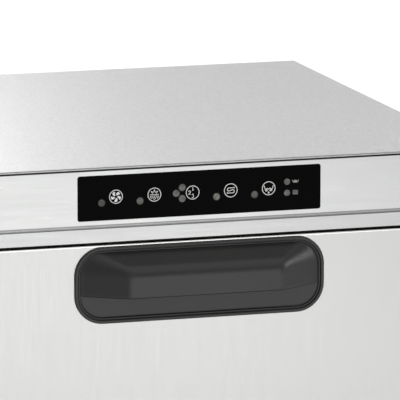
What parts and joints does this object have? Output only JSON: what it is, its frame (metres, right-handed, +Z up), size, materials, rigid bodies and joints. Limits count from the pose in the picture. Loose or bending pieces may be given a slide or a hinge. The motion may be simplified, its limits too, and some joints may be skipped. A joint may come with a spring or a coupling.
{
  "type": "dishwasher",
  "caption": "Undercounter dishwasher with a drop-down door, cup handle, button panel, wash and rinse arms, sliding basket and levelling feet.",
  "frame": {"origin": "centre of the bounding box at floor level, with the feet screwed in", "axes": "+X to the right seen from the front, +Y to the rear, +Z up; the door faces -Y"},
  "size_m": [0.6, 0.637, 0.82],
  "materials": {
    "zinc_steel": "galvanised, matt",
    "stainless_casing": "ground, fine grain",
    "stainless_lid": "ground, fine grain",
    "stainless_front": "ground, satin",
    "stainless_door": "ground upright, satin",
    "stainless_inner": "plain mill finish",
    "screw_steel": "zinc plated",
    "spring_steel": "oiled",
    "gloss_black": "smooth, printed",
    "key_black": "smooth",
    "lamp_grey": "clear grey",
    "moulded_black": "fine moulded texture",
    "moulded_grey": "moulded",
    "board_green": "solder mask",
    "seal_rubber": "matt",
    "foot_black": "moulded",
    "basket_blue": "moulded",
    "valve_brass": "turned",
    "cast_aluminium": "cast, painted"
  },
  "bodies": {
    "cabinet": {"base_tray": "zinc_steel", "side_panel_left": "stainless_casing", "side_panel_right": "stainless_casing", "rear_panel": "zinc_steel", "connection_niche": "zinc_steel", "top_panel": "stainless_lid", "control_fascia": "stainless_front", "front_strip": "stainless_front", "lower_front_panel": "stainless_front", "casing_screws": "screw_steel", "control_overlay": "gloss_black", "indicator_lenses": "lamp_grey", "board_housing": "moulded_grey", "control_board": "board_green", "door_catch": "moulded_grey", "wash_chamber": "stainless_inner", "tank_sump": "stainless_inner", "chamber_gasket": "seal_rubber", "rack_rails": "stainless_inner", "tank_filters": "stainless_inner", "strainer_basket": "stainless_inner", "overflow_pipe": "moulded_grey", "lower_manifold": "stainless_inner", "upper_manifold": "stainless_inner", "arm_nuts": "moulded_grey", "riser_pipe": "stainless_inner", "suction_hose": "seal_rubber", "wash_pump_volute": "moulded_black", "wash_pump_motor": "cast_aluminium", "boiler": "stainless_inner", "boiler_heater": "screw_steel", "tank_heater": "screw_steel", "drain_pump": "moulded_grey", "dosing_pumps": "moulded_grey", "inlet_valve": "valve_brass", "drain_spigot": "moulded_grey", "cable_gland": "moulded_black", "terminal_block": "moulded_grey", "rinse_pipe": "stainless_inner", "hinge_brackets": "screw_steel"},
    "door": {"door_outer_skin": "stainless_door", "door_inner_skin": "stainless_inner", "door_handle": "moulded_black", "hinge_arms": "screw_steel", "hinge_pins": "screw_steel", "hinge_springs": "spring_steel"},
    "basket": {"dish_basket": "basket_blue"},
    "lower_wash_rotor": {"lower_wash_arm": "stainless_inner"},
    "lower_rinse_rotor": {"lower_rinse_arm": "stainless_inner"},
    "upper_wash_rotor": {"upper_wash_arm": "stainless_inner"},
    "upper_rinse_rotor": {"upper_rinse_arm": "stainless_inner"},
    "key_1": {"key_cap_1": "key_black"},
    "key_2": {"key_cap_2": "key_black"},
    "key_3": {"key_cap_3": "key_black"},
    "key_4": {"key_cap_4": "key_black"},
    "key_5": {"key_cap_5": "key_black"},
    "levelling_front_left": {"foot_front_left": "foot_black"},
    "levelling_front_right": {"foot_front_right": "foot_black"},
    "levelling_rear_left": {"foot_rear_left": "foot_black"},
    "levelling_rear_right": {"foot_rear_right": "foot_black"}
  },
  "joints": [
    {"name": "door_hinge", "type": "hinge", "parent": "cabinet", "child": "door", "pos_m": [0, -0.2775, 0.312], "axis": [1, 0, 0], "range_deg": [0, 90]},
    {"name": "basket_slide", "type": "slide", "parent": "cabinet", "child": "basket", "axis": [0, -1, 0], "range_m": [0, 0.125]},
    {"name": "lower_wash_spin", "type": "hinge", "parent": "cabinet", "child": "lower_wash_rotor", "pos_m": [0, 0.0145, 0.3], "axis": [0, 0, 1], "continuous": true},
    {"name": "lower_rinse_spin", "type": "hinge", "parent": "cabinet", "child": "lower_rinse_rotor", "pos_m": [0, 0.0145, 0.3], "axis": [0, 0, 1], "continuous": true},
    {"name": "upper_wash_spin", "type": "hinge", "parent": "cabinet", "child": "upper_wash_rotor", "pos_m": [0, 0.0145, 0.7], "axis": [0, 0, 1], "continuous": true},
    {"name": "upper_rinse_spin", "type": "hinge", "parent": "cabinet", "child": "upper_rinse_rotor", "pos_m": [0, 0.0145, 0.7], "axis": [0, 0, 1], "continuous": true},
    {"name": "key_1_press", "type": "slide", "parent": "cabinet", "child": "key_1", "axis": [0, 1, 0], "range_m": [0, 0.0008], "stiffness_N_per_m": 2500, "springref_m": -0.0004},
    {"name": "key_2_press", "type": "slide", "parent": "cabinet", "child": "key_2", "axis": [0, 1, 0], "range_m": [0, 0.0008], "stiffness_N_per_m": 2500, "springref_m": -0.0004},
    {"name": "key_3_press", "type": "slide", "parent": "cabinet", "child": "key_3", "axis": [0, 1, 0], "range_m": [0, 0.0008], "stiffness_N_per_m": 2500, "springref_m": -0.0004},
    {"name": "key_4_press", "type": "slide", "parent": "cabinet", "child": "key_4", "axis": [0, 1, 0], "range_m": [0, 0.0008], "stiffness_N_per_m": 2500, "springref_m": -0.0004},
    {"name": "key_5_press", "type": "slide", "parent": "cabinet", "child": "key_5", "axis": [0, 1, 0], "range_m": [0, 0.0008], "stiffness_N_per_m": 2500, "springref_m": -0.0004},
    {"name": "foot_front_left_height", "type": "slide", "parent": "cabinet", "child": "levelling_front_left", "axis": [0, 0, -1], "range_m": [0, 0.03]},
    {"name": "foot_front_right_height", "type": "slide", "parent": "cabinet", "child": "levelling_front_right", "axis": [0, 0, -1], "range_m": [0, 0.03]},
    {"name": "foot_rear_left_height", "type": "slide", "parent": "cabinet", "child": "levelling_rear_left", "axis": [0, 0, -1], "range_m": [0, 0.03]},
    {"name": "foot_rear_right_height", "type": "slide", "parent": "cabinet", "child": "levelling_rear_right", "axis": [0, 0, -1], "range_m": [0, 0.03]}
  ],
  "couplings": [
    {"joint": "basket_slide", "follows": "door_hinge", "m_per_rad": 0.0795}
  ]
}
